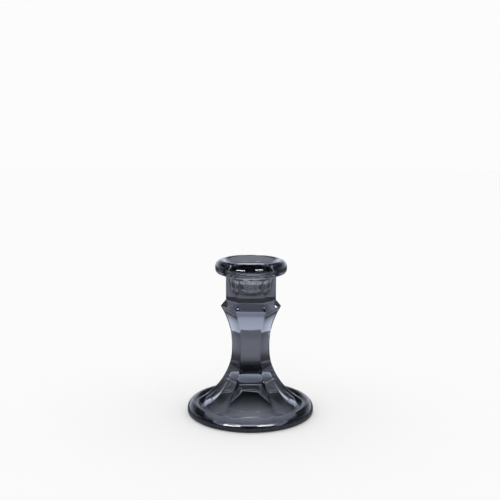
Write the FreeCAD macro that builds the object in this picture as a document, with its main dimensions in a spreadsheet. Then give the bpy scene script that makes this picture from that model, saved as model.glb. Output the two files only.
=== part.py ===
"""Hexagonal pressed-glass candlestick, 82 mm across the foot and 100 mm high.

One pressing of glass, divided where its form changes into six pieces that meet face to face:
foot_ring, foot_skirt, stem, collar, candle_socket and drip_rim, from the table upwards.
+Z is up. The origin is the centre of the circle that the foot rests on. Millimetres.
"""

import FreeCAD, Part
import math
import os
import re

import Sketcher

# The driving dimensions. A "flat" is the distance from the axis to the middle of one of the six panels,
# and a "corner" the distance from the axis to the edge between two panels. A "sweep" is an arc's radius.
SIZES = {
    # foot
    "foot_radius": 41.0,
    "foot_corner": 1.2,
    "foot_edge_level": 2.1,  # the foot is widest from its corner up to here
    "foot_crest": 7.1,
    "groove_sweep": 3.7,  # the bead's inner side, which falls to the groove round the skirt
    "groove_level": 5.7,
    "hollow_wall": 5.2,  # glass between the hollow and the panels of the skirt
    "hollow_level": 21.0,
    "hollow_corner": 2.5,
    "hollow_edge": 13.0,  # the hollow's six edges stand out most under its roof, and fade downwards
    "hollow_edge_foot": 23.35,
    "hollow_edge_sweep": 46.0,
    # skirt and stem
    "ridge_end_radius": 33.1,  # the corners stop short of the groove, in a round wall
    "ridge_end_level": 7.8,
    "skirt_corner_sweep": 43.7,
    "panel_foot": 6.8,  # the panels end in a short upright wall below this level
    "skirt_top": 30.0,
    "waist_bottom": 42.0,  # the waist is straight from here to its top
    "waist_top": 44.0,
    "waist_flat": 10.6,
    "waist_corner": 12.1,
    "lower_flat_sweep": 40.8,
    "lower_corner_sweep": 36.5,
    "upper_flat_sweep": 55.9,
    "upper_corner_sweep": 49.1,
    "stem_top": 66.0,
    # collar
    "collar_level": 69.8,
    "collar_flat": 17.0,
    "collar_corner": 19.4,
    "collar_top": 73.9,
    # candle socket
    "neck_flat": 14.05,
    "neck_corner": 16.05,
    "neck_top": 88.5,
    "bore_radius": 11.1,
    "bore_taper_top": 86.0,  # the bore narrows below this, for the candle's foot
    "bore_foot_radius": 9.7,
    "bore_floor": 77.8,
    "bore_floor_corner": 4.5,
    # drip rim
    "rim_radius": 22.9,
    "rim_under_level": 91.1,
    "rim_under_radius": 3.3,
    "rim_shoulder": 4.5,
    "rim_top": 100.0,
    "dish_roll": 3.2,  # the crest's inner side, which rolls over into the dish's cone
    "dish_edge_radius": 15.95,
    "dish_edge_level": 98.85,
    "mouth_radius": 11.35,  # where the cone turns down into the bore
    "mouth_level": 93.65,
    "mouth_lip": 1.0,
    "bore_wall_top": 93.0,
}
HOLLOW_SWEEP = "lower_flat_sweep + hollow_wall"
PANELS = 6
CLEAR = 5  # how far a facet's cutting outline reaches past the glass
ON_AXIS = 1e-9  # a place nearer than this to a sketch axis lies on it

document = FreeCAD.newDocument("glass_candlestick")
sheet = document.addObject("Spreadsheet::Sheet", "sizes")
for row, (alias, size) in enumerate(SIZES.items(), start=1):
    sheet.set(f"A{row}", alias)
    sheet.set(f"B{row}", str(size))
    sheet.setAlias(f"B{row}", alias)
document.recompute()


def linked(formula):
    """The formula as an expression of another object: each size is read from the sheet."""
    return re.sub(r"[a-z_]+", lambda word: "sizes." * (word[0] in SIZES) + word[0], formula)


def flare(reach, half, level):
    """Formula of the distance from the axis to a "flat" or "corner" at a level of the "lower" or "upper"
    half of the column: an arc tangent at the waist."""
    sweep = f"{half}_{reach}_sweep"
    tangent = "waist_bottom" if half == "lower" else "waist_top"
    return f"waist_{reach} + {sweep} - sqrt({sweep}^2 - ({level} - {tangent})^2)"


def hollow_at(level):
    """Formula of the hollow's radius at a level: its wall is an arc concentric with the skirt's panels."""
    return f"waist_flat + lower_flat_sweep - sqrt(({HOLLOW_SWEEP})^2 - ({level} - waist_bottom)^2)"


def new_piece(label, base):
    """A body whose own base plane stands at the level given by the formula base."""
    body = document.addObject("PartDesign::Body", label)
    body.setExpression("Placement.Base.z", linked(base))
    return body


def origin_feature(body, role):
    return next(feature for feature in body.Origin.OriginFeatures if feature.Role == role)


def run_between(start, end, arc):
    """Edge from start to end, and the number of its vertex that lies at start. arc is None for a
    straight run, or (radius formula, side), with side 1 when the centre is left of the run."""
    if arc is None:
        return Part.LineSegment(start, end), 1
    radius = sheet.evalExpression(arc[0])
    chord = end - start
    left = FreeCAD.Vector(-chord.y, chord.x, 0).normalize()
    centre = (start + end) / 2 + left * arc[1] * math.sqrt(radius**2 - (chord.Length / 2) ** 2)
    angles = [math.atan2((p - centre).y, (p - centre).x) for p in (start, end)]
    turns_left = arc[1] == 1
    circle = Part.Circle(centre, FreeCAD.Vector(0, 0, 1), radius)
    return Part.ArcOfCircle(circle, *(angles if turns_left else angles[::-1])), 1 if turns_left else 2


def outline(body, base, plane, name, corners):
    """Closed sketch on an origin plane of the body. Each corner is (distance from the axis, level, arc of
    the run that leaves it), in formulas, and every corner and radius is bound to the sheet."""
    sketch = body.newObject("Sketcher::SketchObject", name)
    sketch.AttachmentSupport = [(origin_feature(body, plane), "")]
    sketch.MapMode = "FlatFace"
    places = [(across, f"{level} - ({base})") for across, level, arc in corners]
    points = [FreeCAD.Vector(*(sheet.evalExpression(formula) for formula in place), 0) for place in places]
    count = len(corners)
    firsts = []
    for index in range(count):
        run, first = run_between(points[index], points[(index + 1) % count], corners[index][2])
        sketch.addGeometry(run, False)
        firsts.append(first)
    for index in range(count):
        after = (index + 1) % count
        last = 3 - firsts[index]
        sketch.addConstraint(Sketcher.Constraint("Coincident", index, last, after, firsts[after]))
    for index in range(count):
        directions = zip(("DistanceX", "DistanceY"), (-2, -1), places[index], points[index])
        for kind, axis, formula, value in directions:
            if abs(value) < ON_AXIS:
                sketch.addConstraint(Sketcher.Constraint("PointOnObject", index, firsts[index], axis))
            else:
                bind(sketch, formula, kind, -1, 1, index, firsts[index], value)
        if corners[index][2]:
            radius = corners[index][2][0]
            bind(sketch, radius, "Radius", index, sheet.evalExpression(radius))
    return sketch


def bind(sketch, formula, *constraint):
    """Adds a dimension whose value the formula drives."""
    number = sketch.addConstraint(Sketcher.Constraint(*constraint))
    sketch.setExpression(f"Constraints[{number}]", linked(formula))


def turn(body, kind, sketch):
    """Revolves the sketch once round the axis: kind is Revolution to add glass, Groove to take it away."""
    feature = body.newObject(f"PartDesign::{kind}", f"{sketch.Label}_turned")
    feature.Profile = sketch
    feature.ReferenceAxis = (sketch, ["V_Axis"])
    feature.Angle = 360
    body.Tip = feature


def cut_panels(body, base, name, edge):
    """Cuts the glass outside the edge, a run of corners up one panel, and repeats the cut for each panel."""
    clear = [(f"foot_radius + {CLEAR}", edge[-1][1], None), (f"foot_radius + {CLEAR}", edge[0][1], None)]
    sketch = outline(body, base, "YZ_Plane", name, edge + clear)
    facet = body.newObject("PartDesign::Pocket", f"{name}_cut")
    facet.Profile = sketch
    facet.Type = "ThroughAll"
    facet.SideType = "Symmetric"
    pattern = body.newObject("PartDesign::PolarPattern", f"{name}_cuts")
    pattern.Originals = [facet]
    pattern.Axis = (origin_feature(body, "Z_Axis"), [""])
    pattern.Angle = 360
    pattern.Occurrences = PANELS
    body.Tip = pattern


def foot_ring():
    """The round bead that the candlestick stands on, open in the middle."""
    base = "0"
    body = new_piece("foot_ring", base)
    shoulder = "foot_crest - foot_edge_level"
    bead = [
        (hollow_at("0"), "0", None),
        ("foot_radius - foot_corner", "0", ("foot_corner", 1)),
        ("foot_radius", "foot_corner", None),
        ("foot_radius", "foot_edge_level", (shoulder, 1)),
        (f"foot_radius - ({shoulder})", "foot_crest", ("groove_sweep", 1)),
        ("ridge_end_radius", "groove_level", None),
        (hollow_at("groove_level"), "groove_level", (HOLLOW_SWEEP, 1)),
    ]
    turn(body, "Revolution", outline(body, base, "XZ_Plane", "bead", bead))
    return body


def hollow_core():
    """The air under the skirt, as a solid to cut with: six-sided like the skirt, with softer edges."""
    base = "groove_level"
    body = document.addObject("PartDesign::Body", "hollow_core")
    roof_edge = "hollow_level - hollow_corner"
    edge = [
        ("0", "groove_level", None),
        ("hollow_edge_foot", "groove_level", ("hollow_edge_sweep", -1)),
        ("hollow_edge", roof_edge, ("hollow_corner", 1)),
        ("hollow_edge - hollow_corner", "hollow_level", None),
        ("0", "hollow_level", None),
    ]
    turn(body, "Revolution", outline(body, base, "XZ_Plane", "hollow_edges", edge))
    panel = [
        (hollow_at("groove_level"), "groove_level", (HOLLOW_SWEEP, -1)),
        (hollow_at(roof_edge), roof_edge, ("hollow_corner", 1)),
        (f"{hollow_at(roof_edge)} - hollow_corner", "hollow_level", None),
    ]
    cut_panels(body, base, "hollow_panel", panel)
    return body


def foot_skirt():
    """The flared panels over the hollow foot."""
    base = "groove_level"
    body = new_piece("foot_skirt", base)
    corner = [
        ("0", "groove_level", None),
        ("ridge_end_radius", "groove_level", None),
        ("ridge_end_radius", "ridge_end_level", ("skirt_corner_sweep", -1)),
        (flare("corner", "lower", "skirt_top"), "skirt_top", None),
        ("0", "skirt_top", None),
    ]
    turn(body, "Revolution", outline(body, base, "XZ_Plane", "skirt_corners", corner))
    panel = [
        (flare("flat", "lower", "panel_foot"), "groove_level", None),
        (flare("flat", "lower", "panel_foot"), "panel_foot", ("lower_flat_sweep", -1)),
        (flare("flat", "lower", "skirt_top"), "skirt_top", None),
    ]
    cut_panels(body, base, "skirt_panel", panel)
    hollow = body.newObject("PartDesign::Boolean", "hollow_cut")
    hollow.setObjects([hollow_core()])
    hollow.Type = "Cut"
    body.Tip = hollow
    return body


def stem():
    """The solid six-sided column, narrowest at the waist."""
    base = "skirt_top"
    body = new_piece("stem", base)
    corner = [
        ("0", "skirt_top", None),
        (flare("corner", "lower", "skirt_top"), "skirt_top", ("lower_corner_sweep", -1)),
        ("waist_corner", "waist_bottom", None),
        ("waist_corner", "waist_top", ("upper_corner_sweep", -1)),
        (flare("corner", "upper", "stem_top"), "stem_top", None),
        ("0", "stem_top", None),
    ]
    turn(body, "Revolution", outline(body, base, "XZ_Plane", "stem_corners", corner))
    panel = [
        (flare("flat", "lower", "skirt_top"), "skirt_top", ("lower_flat_sweep", -1)),
        ("waist_flat", "waist_bottom", None),
        ("waist_flat", "waist_top", ("upper_flat_sweep", -1)),
        (flare("flat", "upper", "stem_top"), "stem_top", None),
    ]
    cut_panels(body, base, "stem_panel", panel)
    return body


def collar():
    """The widest part of the column, with a sloping shoulder up to the neck."""
    base = "stem_top"
    body = new_piece("collar", base)
    corner = [
        ("0", "stem_top", None),
        (flare("corner", "upper", "stem_top"), "stem_top", None),
        ("collar_corner", "collar_level", None),
        ("neck_corner", "collar_top", None),
        ("0", "collar_top", None),
    ]
    turn(body, "Revolution", outline(body, base, "XZ_Plane", "collar_corners", corner))
    panel = [
        (flare("flat", "upper", "stem_top"), "stem_top", None),
        ("collar_flat", "collar_level", None),
        ("neck_flat", "collar_top", None),
    ]
    cut_panels(body, base, "collar_panel", panel)
    return body


def candle_socket():
    """The six-sided neck and the closed lower end of the candle's bore."""
    base = "collar_top"
    body = new_piece("candle_socket", base)
    corner = [
        ("0", "collar_top", None),
        ("neck_corner", "collar_top", None),
        ("neck_corner", "neck_top", None),
        ("0", "neck_top", None),
    ]
    turn(body, "Revolution", outline(body, base, "XZ_Plane", "neck_corners", corner))
    panel = [("neck_flat", "collar_top", None), ("neck_flat", "neck_top", None)]
    cut_panels(body, base, "neck_panel", panel)
    bore = [
        ("0", "bore_floor", None),
        ("bore_foot_radius - bore_floor_corner", "bore_floor", ("bore_floor_corner", 1)),
        ("bore_foot_radius", "bore_floor + bore_floor_corner", None),
        ("bore_radius", "bore_taper_top", None),
        ("bore_radius", "neck_top", None),
        ("0", "neck_top", None),
    ]
    turn(body, "Groove", outline(body, base, "XZ_Plane", "bore", bore))
    return body


def drip_rim():
    """The round lip that catches wax: rounded shoulder, conical dish and the bore's mouth."""
    base = "neck_top"
    body = new_piece("drip_rim", base)
    lip = [
        ("bore_radius", "neck_top", None),
        ("neck_corner", "neck_top", None),
        ("rim_radius - rim_under_radius", "rim_under_level", ("rim_under_radius", 1)),
        ("rim_radius", "rim_under_level + rim_under_radius", None),
        ("rim_radius", "rim_top - rim_shoulder", ("rim_shoulder", 1)),
        ("rim_radius - rim_shoulder", "rim_top", ("dish_roll", 1)),
        ("dish_edge_radius", "dish_edge_level", None),
        ("mouth_radius", "mouth_level", ("mouth_lip", 1)),
        ("bore_radius", "bore_wall_top", None),
    ]
    turn(body, "Revolution", outline(body, base, "XZ_Plane", "lip", lip))
    return body


pieces = [foot_ring(), foot_skirt(), stem(), collar(), candle_socket(), drip_rim()]
document.recompute()

failed = [thing.Label for thing in document.Objects if {"Invalid", "Error"} & set(thing.State)]
if failed:
    raise RuntimeError(f"objects that failed: {failed}")
for piece in pieces:
    if piece.Shape.isNull() or not piece.Shape.isValid() or len(piece.Shape.Solids) != 1:
        raise RuntimeError(f"{piece.Label} has no single valid solid")

os.makedirs("parts", exist_ok=True)
for piece in pieces:
    piece.Shape.exportStep(f"parts/{piece.Label}.step")
    box = piece.Shape.optimalBoundingBox()
    print(f"{piece.Label}: {piece.Shape.Volume / 1000:.2f} cm3, {box.ZMin:.2f} to {box.ZMax:.2f} mm high")
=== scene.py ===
import math

import bpy
import numpy as np
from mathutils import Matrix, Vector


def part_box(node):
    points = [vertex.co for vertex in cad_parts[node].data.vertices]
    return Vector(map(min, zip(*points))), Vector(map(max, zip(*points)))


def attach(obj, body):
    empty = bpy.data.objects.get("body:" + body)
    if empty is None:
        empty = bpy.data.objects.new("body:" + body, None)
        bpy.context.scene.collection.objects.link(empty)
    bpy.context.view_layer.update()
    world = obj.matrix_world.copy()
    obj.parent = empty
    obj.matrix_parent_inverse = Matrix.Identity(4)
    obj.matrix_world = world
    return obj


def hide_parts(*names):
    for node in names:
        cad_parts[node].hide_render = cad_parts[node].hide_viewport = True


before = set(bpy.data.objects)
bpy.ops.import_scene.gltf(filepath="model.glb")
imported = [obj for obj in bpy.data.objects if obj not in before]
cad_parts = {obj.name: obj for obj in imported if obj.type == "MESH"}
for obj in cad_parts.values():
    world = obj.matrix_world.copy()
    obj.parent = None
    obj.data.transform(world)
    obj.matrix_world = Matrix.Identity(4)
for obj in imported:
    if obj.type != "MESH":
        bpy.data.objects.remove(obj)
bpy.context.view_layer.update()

MM = 0.001
HALF_PANEL = math.radians(30)
PANELS = 6

# ---------------------------------------------------------------- shape, in millimetres
# A "flat" is the distance from the axis to the middle of a panel, and a "corner" the distance to the edge
# between two panels. The sizes that the frame's boxes give are read from them.


def top_of(node):
    """(corner, flat, level) of the highest, widest reach of a CAD node, in millimetres."""
    return [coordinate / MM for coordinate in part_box(node)[1]]


FOOT_RADIUS, _, CREST_LEVEL = top_of("foot_ring")
GROOVE_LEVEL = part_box("foot_skirt")[0].z / MM
SKIRT_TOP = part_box("stem")[0].z / MM
STEM_TOP = top_of("stem")[2]
COLLAR_CORNER, COLLAR_FLAT, COLLAR_TOP = top_of("collar")
NECK_CORNER, NECK_FLAT, NECK_TOP = top_of("candle_socket")
RIM_RADIUS, _, RIM_TOP = top_of("drip_rim")

FOOT_CORNER, EDGE_LEVEL = 1.2, 2.1  # the foot is widest between these
# Below these the skirt stands upright: (corner, level) for the ridges, and a level for the panels.
RIDGE_END, PANEL_FOOT = (33.1, 7.8), 6.8
WALL = 5.2  # glass between the hollow and the panels
HOLLOW_LEVEL, HOLLOW_CORNER = 21.0, 2.5  # the hollow's roof, and how its edge is rounded
# The hollow's six edges: their distance from the axis under the roof and at the groove, and the radius of
# the arc between the two.
HOLLOW_EDGE, HOLLOW_EDGE_FOOT, HOLLOW_EDGE_SWEEP = 13.0, 23.35, 46.0
WAIST_BOTTOM, WAIST_TOP, WAIST_FLAT, WAIST_CORNER = 42.0, 44.0, 10.6, 12.1
LOWER_FLAT_SWEEP, LOWER_CORNER_SWEEP, SKIRT_CORNER_SWEEP = 40.8, 36.5, 43.7
UPPER_FLAT_SWEEP, UPPER_CORNER_SWEEP = 55.9, 49.1
COLLAR_LEVEL = 69.8
BORE_RADIUS, BORE_WALL_TOP = 11.1, 93.0
BORE_TAPER_TOP, BORE_FOOT, BORE_FLOOR, BORE_CORNER = 86.0, 9.7, 77.8, 4.5
UNDER_LEVEL, UNDER_RADIUS, SHOULDER = 91.1, 3.3, 4.5
DISH_ROLL, DISH_EDGE = 3.2, (15.95, 98.85)
MOUTH_LIP, MOUTH = 1.0, (11.35, 93.65)

POLISH = 0.22  # how far fire-polishing has rounded every edge
EDGE_SOFTNESS = 0.06  # how far the edges between two panels are rounded before that
WANDER, WANDER_RISE = 0.05, 3.0  # the skin's waves, and the height above the table that they grow over

STEP = 0.1  # spacing of the samples that the outline is drawn with
SLOPE_LENGTH = 1.3  # allows for a six-sided stretch being longer than it is high
POLE_RADIUS = 0.3  # the innermost ring, round each end of the outline
LONGEST_STEP, LARGEST_TURN = 0.9, math.radians(7)  # between two rings of the mesh
WATCHED_COLUMNS = 24  # how many columns the steps and turns are measured on
FLAT_COLUMNS, RIDGE_COLUMNS, RIDGE_CROWDING = 14, 6, 1.6  # on each side of a panel's edge
# The angle from a panel's middle to its edge columns: on round stretches, and the least and the most.
ROUND_EDGE, LEAST_EDGE, MOST_EDGE = math.radians(22), math.radians(13), math.radians(29.2)
EDGE_DRIFT = 0.3  # the spread that this angle changes over, along the outline
WHOLE_EDGE = 0.03  # where the corner is further out than the flat by this share, its softness is whole
LEAST_SHARE = 1e-6  # of the softness, on round stretches


def flare(waist, sweep, level):
    """Distance from the axis of an arc that is tangent at the waist, above it or below."""
    away = np.maximum(level - WAIST_TOP, 0) + np.maximum(WAIST_BOTTOM - level, 0)
    return waist + sweep - np.sqrt(sweep**2 - away**2)


def sampled(length):
    """Parts of the way along a length, a STEP apart, from 0 up to but not at its end."""
    return np.linspace(0, 1, max(int(length / STEP), 2), endpoint=False)[:, None]


def round_row(radius, level):
    """The row (flat, corner, level) of a round ring."""
    return radius, radius, level


def run(start, end):
    """Rows of a straight run between two rows."""
    start, end = np.array(start, float), np.array(end, float)
    return start + (end - start) * sampled(np.abs(end - start).max())


def arc(start, end, radius, side):
    """Round rows along an arc from start to end, both (radius, level). Side is 1 when its centre lies to
    the left of the way, and -1 to the right."""
    start, end = np.array(start, float), np.array(end, float)
    chord = end - start
    length = np.hypot(*chord)
    left = np.array([-chord[1], chord[0]]) / length
    centre = (start + end) / 2 + left * side * math.sqrt(max(radius**2 - (length / 2) ** 2, 0))
    first = math.atan2(*(start - centre)[::-1])
    turn = 2 * math.asin(min(length / 2 / radius, 1)) * side
    angle = first + turn * sampled(radius * abs(turn))
    across, level = centre[0] + radius * np.cos(angle), centre[1] + radius * np.sin(angle)
    return np.hstack([across, across, level])


def panels(flat_of, corner_of, low, high):
    """Rows of a six-sided stretch whose flats and corners are functions of the level."""
    level = low + (high - low) * sampled(SLOPE_LENGTH * (high - low))
    return np.hstack([flat_of(level), corner_of(level), level])


def skirt_corner(level):
    """The ridges between the skirt's panels: an arc down to the ridge's end, and a short wall below it."""
    top = (float(flare(WAIST_CORNER, LOWER_CORNER_SWEEP, SKIRT_TOP)), SKIRT_TOP)
    chord = np.subtract(RIDGE_END, top)
    half = np.hypot(*chord) / 2
    right = np.array([-chord[1], chord[0]]) / (2 * half)
    centre = np.add(top, RIDGE_END) / 2 + right * math.sqrt(SKIRT_CORNER_SWEEP**2 - half**2)
    above = np.maximum(level, RIDGE_END[1])
    return centre[0] - np.sqrt(SKIRT_CORNER_SWEEP**2 - (above - centre[1]) ** 2)


def hollow_at(level):
    """Distance from the axis to the middle of the hollow's sides, which keep a WALL behind the panels."""
    return WAIST_FLAT + LOWER_FLAT_SWEEP - math.sqrt(
        (LOWER_FLAT_SWEEP + WALL) ** 2 - (level - WAIST_BOTTOM) ** 2)


def hollow_edge_at(level):
    """Distance from the axis to the hollow's six edges, above the groove's level."""
    top, foot = (HOLLOW_EDGE, HOLLOW_LEVEL - HOLLOW_CORNER), (HOLLOW_EDGE_FOOT, GROOVE_LEVEL)
    rows = arc(top, foot, HOLLOW_EDGE_SWEEP, 1)
    return np.interp(level, rows[::-1, 2], rows[::-1, 0])


def outline():
    """Rows (flat, corner, level) from the middle of the hollow's roof, under the foot, up the outside and
    over the rim to the middle of the bore's floor."""
    roof_edge = HOLLOW_LEVEL - HOLLOW_CORNER
    roof = (hollow_at(roof_edge) - HOLLOW_CORNER, HOLLOW_LEVEL)
    mouth = (hollow_at(0), 0)
    bead = RIM_TOP - SHOULDER
    crest = (FOOT_RADIUS - CREST_LEVEL + EDGE_LEVEL, CREST_LEVEL)
    groove = (float(flare(WAIST_FLAT, LOWER_FLAT_SWEEP, GROOVE_LEVEL)), GROOVE_LEVEL)
    groove_sweep = ((crest[0] - groove[0]) ** 2 + (crest[1] - groove[1]) ** 2) / 2 / (crest[1] - groove[1])
    flank = arc(crest, groove, groove_sweep, 1)
    flank[:, 1] = np.maximum(flank[:, 1], RIDGE_END[0])  # the ridges stand on it, outside the groove
    roof_round = arc(roof, (hollow_at(roof_edge), roof_edge), HOLLOW_CORNER, -1)
    roof_round[:, 1] += HOLLOW_EDGE - hollow_at(roof_edge)
    hollow = arc((hollow_at(roof_edge), roof_edge), mouth, LOWER_FLAT_SWEEP + WALL, 1)
    hollow[:, 1] = np.maximum(hollow[:, 0], hollow_edge_at(hollow[:, 2]) * (hollow[:, 2] >= GROOVE_LEVEL))
    rows = [
        run(round_row(POLE_RADIUS, HOLLOW_LEVEL), (roof[0], HOLLOW_EDGE - HOLLOW_CORNER, HOLLOW_LEVEL)),
        roof_round,
        hollow,
        run(round_row(*mouth), round_row(FOOT_RADIUS - FOOT_CORNER, 0)),
        arc((FOOT_RADIUS - FOOT_CORNER, 0), (FOOT_RADIUS, FOOT_CORNER), FOOT_CORNER, 1),
        run(round_row(FOOT_RADIUS, FOOT_CORNER), round_row(FOOT_RADIUS, EDGE_LEVEL)),
        arc((FOOT_RADIUS, EDGE_LEVEL), crest, CREST_LEVEL - EDGE_LEVEL, 1),
        flank,
        panels(lambda z: flare(WAIST_FLAT, LOWER_FLAT_SWEEP, np.maximum(z, PANEL_FOOT)), skirt_corner,
               GROOVE_LEVEL, SKIRT_TOP),
        panels(lambda z: flare(WAIST_FLAT, LOWER_FLAT_SWEEP, z),
               lambda z: flare(WAIST_CORNER, LOWER_CORNER_SWEEP, z), SKIRT_TOP, WAIST_BOTTOM),
        panels(lambda z: flare(WAIST_FLAT, UPPER_FLAT_SWEEP, z),
               lambda z: flare(WAIST_CORNER, UPPER_CORNER_SWEEP, z), WAIST_BOTTOM, STEM_TOP),
        run((float(flare(WAIST_FLAT, UPPER_FLAT_SWEEP, STEM_TOP)),
             float(flare(WAIST_CORNER, UPPER_CORNER_SWEEP, STEM_TOP)), STEM_TOP),
            (COLLAR_FLAT, COLLAR_CORNER, COLLAR_LEVEL)),
        run((COLLAR_FLAT, COLLAR_CORNER, COLLAR_LEVEL), (NECK_FLAT, NECK_CORNER, COLLAR_TOP)),
        run((NECK_FLAT, NECK_CORNER, COLLAR_TOP), (NECK_FLAT, NECK_CORNER, NECK_TOP)),
        run((NECK_FLAT, NECK_CORNER, NECK_TOP), round_row(RIM_RADIUS - UNDER_RADIUS, UNDER_LEVEL)),
        arc((RIM_RADIUS - UNDER_RADIUS, UNDER_LEVEL), (RIM_RADIUS, UNDER_LEVEL + UNDER_RADIUS),
            UNDER_RADIUS, 1),
        run(round_row(RIM_RADIUS, UNDER_LEVEL + UNDER_RADIUS), round_row(RIM_RADIUS, bead)),
        arc((RIM_RADIUS, bead), (RIM_RADIUS - SHOULDER, RIM_TOP), SHOULDER, 1),
        arc((RIM_RADIUS - SHOULDER, RIM_TOP), DISH_EDGE, DISH_ROLL, 1),
        run(round_row(*DISH_EDGE), round_row(*MOUTH)),
        arc(MOUTH, (BORE_RADIUS, BORE_WALL_TOP), MOUTH_LIP, 1),
        run(round_row(BORE_RADIUS, BORE_WALL_TOP), round_row(BORE_RADIUS, BORE_TAPER_TOP)),
        run(round_row(BORE_RADIUS, BORE_TAPER_TOP), round_row(BORE_FOOT, BORE_FLOOR + BORE_CORNER)),
        arc((BORE_FOOT, BORE_FLOOR + BORE_CORNER), (BORE_FOOT - BORE_CORNER, BORE_FLOOR), BORE_CORNER, -1),
        run(round_row(BORE_FOOT - BORE_CORNER, BORE_FLOOR), round_row(POLE_RADIUS, BORE_FLOOR)),
    ]
    return np.vstack(rows)


def softened(values, spread):
    """The values averaged along the outline with a bell of the given spread, in millimetres."""
    reach = int(4 * spread / STEP)
    bell = np.exp(-0.5 * (np.arange(-reach, reach + 1) * STEP / spread) ** 2)
    padded = np.pad(values, [(reach, reach)] + [(0, 0)] * (values.ndim - 1), mode="edge")
    return sum(weight * padded[i:i + len(values)] for i, weight in enumerate(bell / bell.sum()))


def columns():
    """(part of the flat, part of the ridge, side) of each column across one panel, dense at the edges."""
    across_flat = 1 - np.linspace(1, 0, FLAT_COLUMNS) ** 2
    across_ridge = np.linspace(0, 1, RIDGE_COLUMNS)[1:] ** RIDGE_CROWDING
    half = [(flat, 0.0) for flat in across_flat] + [(1.0, ridge) for ridge in across_ridge]
    left = [(flat, ridge, -1) for flat, ridge in half[::-1]]
    return np.array(left + [(flat, ridge, 1) for flat, ridge in half[1:-1]])


def surface(rows):
    """Points of the glass skin, one ring for each row. A faceted ring is the smaller of a hexagon, at the
    flat's distance, and a circle at the corner's, with the edge between them softened."""
    flat, corner, level = rows.T[:, :, None]
    faceted = flat < corner
    edge = np.where(faceted, np.arccos(np.minimum(flat / corner, 1)), ROUND_EDGE)
    edge = softened(np.clip(edge, LEAST_EDGE, MOST_EDGE), EDGE_DRIFT)
    flats, ridges, sides = columns().T
    turn = sides * (edge * flats + (HALF_PANEL - edge) * ridges)
    turn = np.hstack([turn + 2 * HALF_PANEL * panel for panel in range(PANELS)])
    from_middle = np.abs((turn + HALF_PANEL) % (2 * HALF_PANEL) - HALF_PANEL)
    straight = flat / np.cos(from_middle)
    softness = EDGE_SOFTNESS * np.clip((1 - flat / corner) / WHOLE_EDGE, LEAST_SHARE, 1)
    overlap = np.maximum(softness - np.abs(straight - corner), 0) / softness
    across = np.where(faceted, np.minimum(straight, corner) - overlap**2 * softness / 4, corner)
    heading = turn + HALF_PANEL
    return np.stack([across * np.cos(heading), across * np.sin(heading),
                     np.broadcast_to(level, across.shape)], axis=2)


def thinned(points):
    """The rings that the shape needs: close together where it turns, further apart where it is straight."""
    watched = points[:, :: points.shape[1] // WATCHED_COLUMNS]
    steps = np.diff(watched, axis=0)
    lengths = np.linalg.norm(steps, axis=2)
    ways = steps / np.maximum(lengths, 1e-9)[:, :, None]
    turns = np.arccos(np.clip((ways[1:] * ways[:-1]).sum(2), -1, 1))
    cost = (lengths / LONGEST_STEP).max(1)
    cost[1:] += (turns / LARGEST_TURN).max(1)
    reached = np.concatenate([[0], np.cumsum(cost)])
    wanted = np.linspace(0, reached[-1], int(reached[-1]) + 1)
    return points[np.unique(np.searchsorted(reached, wanted).clip(0, len(points) - 1))]


def wander(points):
    """How far the skin of pressed glass wanders from its true shape at each point, in millimetres: the mean
    of three waves that run different ways, with different lengths."""
    x, y, z = points.T
    one = np.sin(x / 3.1 + z / 4.3)
    another = np.sin(y / 2.7 - z / 5.2 + 1.3)
    third = np.sin((x + y) / 4.1 + z / 2.9 + 2.6)
    return WANDER / 3 * (one + another + third) * np.clip(z / WANDER_RISE, 0, 1)


def glass_mesh():
    """One closed mesh: rings of quads from the hollow's roof to the bore's floor, with a fan at each end."""
    rings = thinned(softened(surface(outline()), POLISH))
    count, around = rings.shape[:2]
    poles = np.array([[0, 0, HOLLOW_LEVEL], [0, 0, BORE_FLOOR]])
    vertices = np.vstack([rings.reshape(-1, 3), poles]) * MM
    grid = np.arange(count * around).reshape(count, around)
    after = np.roll(grid, -1, axis=1)
    quads = np.stack([grid[:-1], after[:-1], after[1:], grid[1:]], axis=2).reshape(-1, 4).tolist()
    under, over = count * around, count * around + 1
    caps = [(under, after[0, j], grid[0, j]) for j in range(around)]
    caps += [(grid[-1, j], after[-1, j], over) for j in range(around)]
    mesh = bpy.data.meshes.new("glass_body")
    mesh.from_pydata(vertices.tolist(), [], quads + [tuple(map(int, cap)) for cap in caps])
    mesh.validate()
    mesh.shade_smooth()
    normals = np.empty(vertices.size)
    mesh.vertex_normals.foreach_get("vector", normals)
    moved = vertices + normals.reshape(-1, 3) * wander(vertices / MM)[:, None] * MM
    mesh.vertices.foreach_set("co", moved.ravel())
    mesh.update()
    return mesh


body = bpy.data.objects.new("glass_body", glass_mesh())
bpy.context.collection.objects.link(body)


# ---------------------------------------------------------------- glass
GLASS_IOR = 1.5
DEPTH_COLOUR, DEPTH_DENSITY = (0.19, 0.21, 0.30, 1), 60.0
ROUGHEST = 0.03  # where handling has dulled the polish most
WORN_FROM, WORN_TO = 0.52, 0.72  # the wear's noise dulls the skin above the first, and most at the second
RIPPLE, PORES = 1.2e-5, 4e-7  # heights on the skin, in metres
WEAR_NOISE, RIPPLE_NOISE, PORE_NOISE = (260, 4), (150, 1), (1400, 2)  # features per metre, and detail
SEAM_WIDTH, SEAM_HEIGHT = 2.5e-4, 1.5e-5


def node_of(tree, kind, **settings):
    """A new node with the given settings."""
    node = tree.nodes.new(kind)
    for name, value in settings.items():
        setattr(node, name, value)
    return node


def eased(tree, source, low, high, to_low, to_high):
    """A smooth step from to_low, where the source is low, to to_high."""
    node = node_of(tree, "ShaderNodeMapRange", interpolation_type="SMOOTHSTEP")
    for socket, value in zip(("From Min", "From Max", "To Min", "To Max"), (low, high, to_low, to_high)):
        node.inputs[socket].default_value = value
    tree.links.new(source, node.inputs["Value"])
    return node.outputs["Result"]


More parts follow.
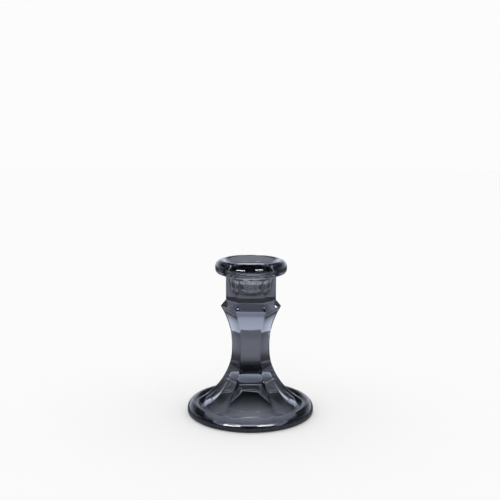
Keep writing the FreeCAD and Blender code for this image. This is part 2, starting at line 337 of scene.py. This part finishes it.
def math_of(tree, operation, first, second):
    """The result of a Math node on two sockets or numbers."""
    node = node_of(tree, "ShaderNodeMath", operation=operation)
    for socket, value in zip(node.inputs, (first, second)):
        if isinstance(value, (int, float)):
            socket.default_value = value
        else:
            tree.links.new(value, socket)
    return node.outputs["Value"]


def smoke_glass():
    """Grey-violet glass: clear, coloured in depth, with the pressing's ripple, pores and mould seam."""
    material = bpy.data.materials.new("smoke_glass_skin")
    material.use_nodes = True
    tree = material.node_tree
    shader = tree.nodes["Principled BSDF"]
    shader.inputs["Base Color"].default_value = (1, 1, 1, 1)
    shader.inputs["Transmission Weight"].default_value = 1.0
    shader.inputs["IOR"].default_value = GLASS_IOR
    place = tree.nodes.new("ShaderNodeTexCoord").outputs["Object"]

    def noise(scale, detail):
        """Noise in the glass's own coordinates."""
        node = node_of(tree, "ShaderNodeTexNoise")
        node.inputs["Scale"].default_value = scale
        node.inputs["Detail"].default_value = detail
        tree.links.new(place, node.inputs["Vector"])
        return node.outputs["Fac"]

    worn = eased(tree, noise(*WEAR_NOISE), WORN_FROM, WORN_TO, 0.0, ROUGHEST)
    tree.links.new(worn, shader.inputs["Roughness"])
    split = tree.nodes.new("ShaderNodeSeparateXYZ")
    tree.links.new(place, split.inputs[0])
    beside = math_of(tree, "ABSOLUTE", split.outputs["Y"], 0)
    seam = eased(tree, beside, 0.0, SEAM_WIDTH, SEAM_HEIGHT, 0)
    ripple = math_of(tree, "MULTIPLY", noise(*RIPPLE_NOISE), RIPPLE)
    pores = math_of(tree, "MULTIPLY", noise(*PORE_NOISE), PORES)
    height = math_of(tree, "ADD", seam, math_of(tree, "ADD", ripple, pores))
    bump = tree.nodes.new("ShaderNodeBump")
    bump.inputs["Distance"].default_value = 1.0
    tree.links.new(height, bump.inputs["Height"])
    tree.links.new(bump.outputs["Normal"], shader.inputs["Normal"])
    depth = tree.nodes.new("ShaderNodeVolumeAbsorption")
    depth.inputs["Color"].default_value = DEPTH_COLOUR
    depth.inputs["Density"].default_value = DEPTH_DENSITY
    tree.links.new(depth.outputs["Volume"], tree.nodes["Material Output"].inputs["Volume"])
    return material


body.data.materials.append(smoke_glass())
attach(body, "root")
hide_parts("foot_ring", "foot_skirt", "stem", "collar", "candle_socket", "drip_rim")


# ---------------------------------------------------------------- studio
PAGE_WHITE, FLOOR_WHITE = 0.975, 0.99
# The table's grey as the glass shows it, with light and shade painted in: lighter in front, and a painted
# shadow of the candlestick under and just behind the foot. It goes from the first amount, the painted light
# in front, to the second, the painted shadow under the foot, between the first two depths, in metres behind
# the axis, and each of the other
# amounts is added between the next two: the third lifts it out of the painted shadow just behind, and the
# last two make it darker and then lighter further back.
INTO_PAINTED_SHADOW, OUT_OF_PAINTED_SHADOW, FURTHER_BACK, AT_HORIZON = (-0.05, 0.03), (0.03, 0.1), (0.18, 0.45), (1.0, 3.0)
FLOOR_PAINTED_LIT_FRONT, FLOOR_PAINTED_SHADOW, FLOOR_BEHIND, FLOOR_FAR, FLOOR_HORIZON = 0.85, 0.02, 0.27, -0.06, 0.4
FLOOR_TINT = (0.97, 1.0, 1.13)
FLOOR_REACH, AIR_GAP = 3.0, 1e-4  # the gap keeps the glass and the table apart
# The backdrop as the glass shows it. Each pair is a range of one coordinate of a ray's direction: upwards
# out of the backdrop, round from the front to the back, and outwards to its brighter sides.
FADE_UP, ROUND_TO_BACK, OUT_TO_SIDES = (0.15, 0.5), (0.05, 0.95), (0.3, 0.7)
AMBIENT, BACKDROP, ASIDE_SHARE, FRONT_SHARE = 0.06, 1.08, 1.25, 0.04
STUDIO_TINT = (0.90, 0.97, 1.10)
SOFTBOX_DISTANCE, AIM_LEVEL = 1.2, 0.05

CAMERA_PLACE = (-0.00117, -0.5, 0.184)
LOOK_DOWN, ROLL = math.radians(8.86), math.radians(-0.3)
SENSOR_WIDTH, FOCAL_WIDTHS = 36, 1.592  # in millimetres, and the focal length in sensor widths
LIGHT_BOUNCES = 24


def off_glass(tree, plain, through):
    """A colour that is plain, except for rays that the glass has reflected or let through, which get the
    other one. A surface of the stage can so be white in itself and grey through the glass."""
    mix = node_of(tree, "ShaderNodeMix", data_type="RGBA")
    colours = [socket for socket in mix.inputs if socket.type == "RGBA"]
    tree.links.new(tree.nodes.new("ShaderNodeLightPath").outputs["Is Glossy Ray"], mix.inputs["Factor"])
    for socket, value in zip(colours, (plain, through)):
        if isinstance(value, tuple):
            socket.default_value = (*value, 1)
        else:
            tree.links.new(value, socket)
    return next(socket for socket in mix.outputs if socket.type == "RGBA")


def studio_world():
    """A white page lights the floor. The glass sees a bright low backdrop behind it, which fades upwards
    and round to the front of the studio."""
    world = bpy.data.worlds.new("studio")
    world.use_nodes = True
    tree = world.node_tree
    split = tree.nodes.new("ShaderNodeSeparateXYZ")
    tree.links.new(tree.nodes.new("ShaderNodeTexCoord").outputs["Generated"], split.inputs[0])
    low = eased(tree, split.outputs["Z"], *FADE_UP, 1, 0)
    behind = eased(tree, split.outputs["Y"], *ROUND_TO_BACK, FRONT_SHARE, 1)
    aside = eased(tree, math_of(tree, "ABSOLUTE", split.outputs["X"], 0), *OUT_TO_SIDES, 1, ASIDE_SHARE)
    glow = math_of(tree, "MULTIPLY", math_of(tree, "MULTIPLY", low, behind), aside)
    glow = math_of(tree, "MULTIPLY", glow, BACKDROP)
    glow = math_of(tree, "ADD", glow, AMBIENT)
    tint = node_of(tree, "ShaderNodeVectorMath", operation="SCALE")
    tint.inputs[0].default_value = STUDIO_TINT
    tree.links.new(glow, tint.inputs["Scale"])
    page = (PAGE_WHITE,) * 3
    tree.links.new(off_glass(tree, page, tint.outputs["Vector"]), tree.nodes["Background"].inputs["Color"])
    return world


def floor_with_painted_shadow():
    """A white page, which shows through the glass as the grey table it lies on, painted lighter in front and
    darker under and just behind the foot as a painted shadow of the candlestick.
    """
    paint = bpy.data.materials.new("floor_with_painted_shadow")
    paint.use_nodes = True
    tree = paint.node_tree
    tree.nodes.remove(tree.nodes["Principled BSDF"])
    diffuse = tree.nodes.new("ShaderNodeBsdfDiffuse")
    split = tree.nodes.new("ShaderNodeSeparateXYZ")
    tree.links.new(tree.nodes.new("ShaderNodeTexCoord").outputs["Object"], split.inputs[0])
    depth = split.outputs["Y"]
    # painted light and shadow: lighter in front, falling to a painted shadow under the foot, and lifted
    # again just behind it
    front = eased(tree, depth, *INTO_PAINTED_SHADOW, FLOOR_PAINTED_LIT_FRONT, FLOOR_PAINTED_SHADOW)
    behind = eased(tree, depth, *OUT_OF_PAINTED_SHADOW, 0, FLOOR_BEHIND)
    far = eased(tree, depth, *FURTHER_BACK, 0, FLOOR_FAR)
    horizon = eased(tree, depth, *AT_HORIZON, 0, FLOOR_HORIZON)
    grey = math_of(tree, "ADD", math_of(tree, "ADD", front, behind), math_of(tree, "ADD", far, horizon))
    tint = node_of(tree, "ShaderNodeVectorMath", operation="SCALE")
    tint.inputs[0].default_value = FLOOR_TINT
    tree.links.new(grey, tint.inputs["Scale"])
    colour = off_glass(tree, (FLOOR_WHITE,) * 3, tint.outputs["Vector"])
    tree.links.new(colour, diffuse.inputs["Color"])
    tree.links.new(diffuse.outputs["BSDF"], tree.nodes["Material Output"].inputs["Surface"])
    return paint


floor = bpy.data.objects.new("floor", bpy.data.meshes.new("floor"))
ways = [(-1, -1), (1, -1), (1, 1), (-1, 1)]
corners = [(x * FLOOR_REACH, y * FLOOR_REACH, -AIR_GAP) for x, y in ways]
floor.data.from_pydata(corners, [], [(0, 1, 2, 3)])
floor.data.materials.append(floor_with_painted_shadow())
bpy.context.collection.objects.link(floor)
bpy.context.scene.world = studio_world()


def softbox(name, azimuth, elevation, size, radiance):
    """A rectangular area light that faces the middle of the candlestick, and lights only the glass. The
    azimuth is in degrees clockwise from behind, as seen from above, and the elevation in degrees up."""
    light = bpy.data.objects.new(name, bpy.data.lights.new(name, "AREA"))
    bpy.context.collection.objects.link(light)
    light.data.shape = "RECTANGLE"
    light.data.size, light.data.size_y = size
    light.data.energy = radiance * size[0] * size[1] * math.pi
    around, up = math.radians(azimuth), math.radians(elevation)
    way = np.array([math.sin(around) * math.cos(up), math.cos(around) * math.cos(up), math.sin(up)])
    light.location = way * SOFTBOX_DISTANCE + np.array([0, 0, AIM_LEVEL])
    light.rotation_euler = (math.pi / 2 - up, 0, math.pi - around)
    light.visible_camera = False
    light.visible_diffuse = False


softbox("softbox_left", -146, 23, (0.62, 0.36), 18)
softbox("softbox_right", 151, 29, (0.56, 0.36), 16)

camera = bpy.data.objects.new("camera", bpy.data.cameras.new("camera"))
bpy.context.collection.objects.link(camera)
camera.location = CAMERA_PLACE
camera.rotation_euler = (math.pi / 2 - LOOK_DOWN, ROLL, 0)
camera.data.sensor_width = SENSOR_WIDTH
camera.data.lens = SENSOR_WIDTH * FOCAL_WIDTHS
bpy.context.scene.camera = camera

cycles = bpy.context.scene.cycles
cycles.max_bounces = LIGHT_BOUNCES
cycles.transmission_bounces = LIGHT_BOUNCES
cycles.glossy_bounces = LIGHT_BOUNCES
cycles.use_denoising = True
bpy.context.scene.view_settings.view_transform = "Standard"
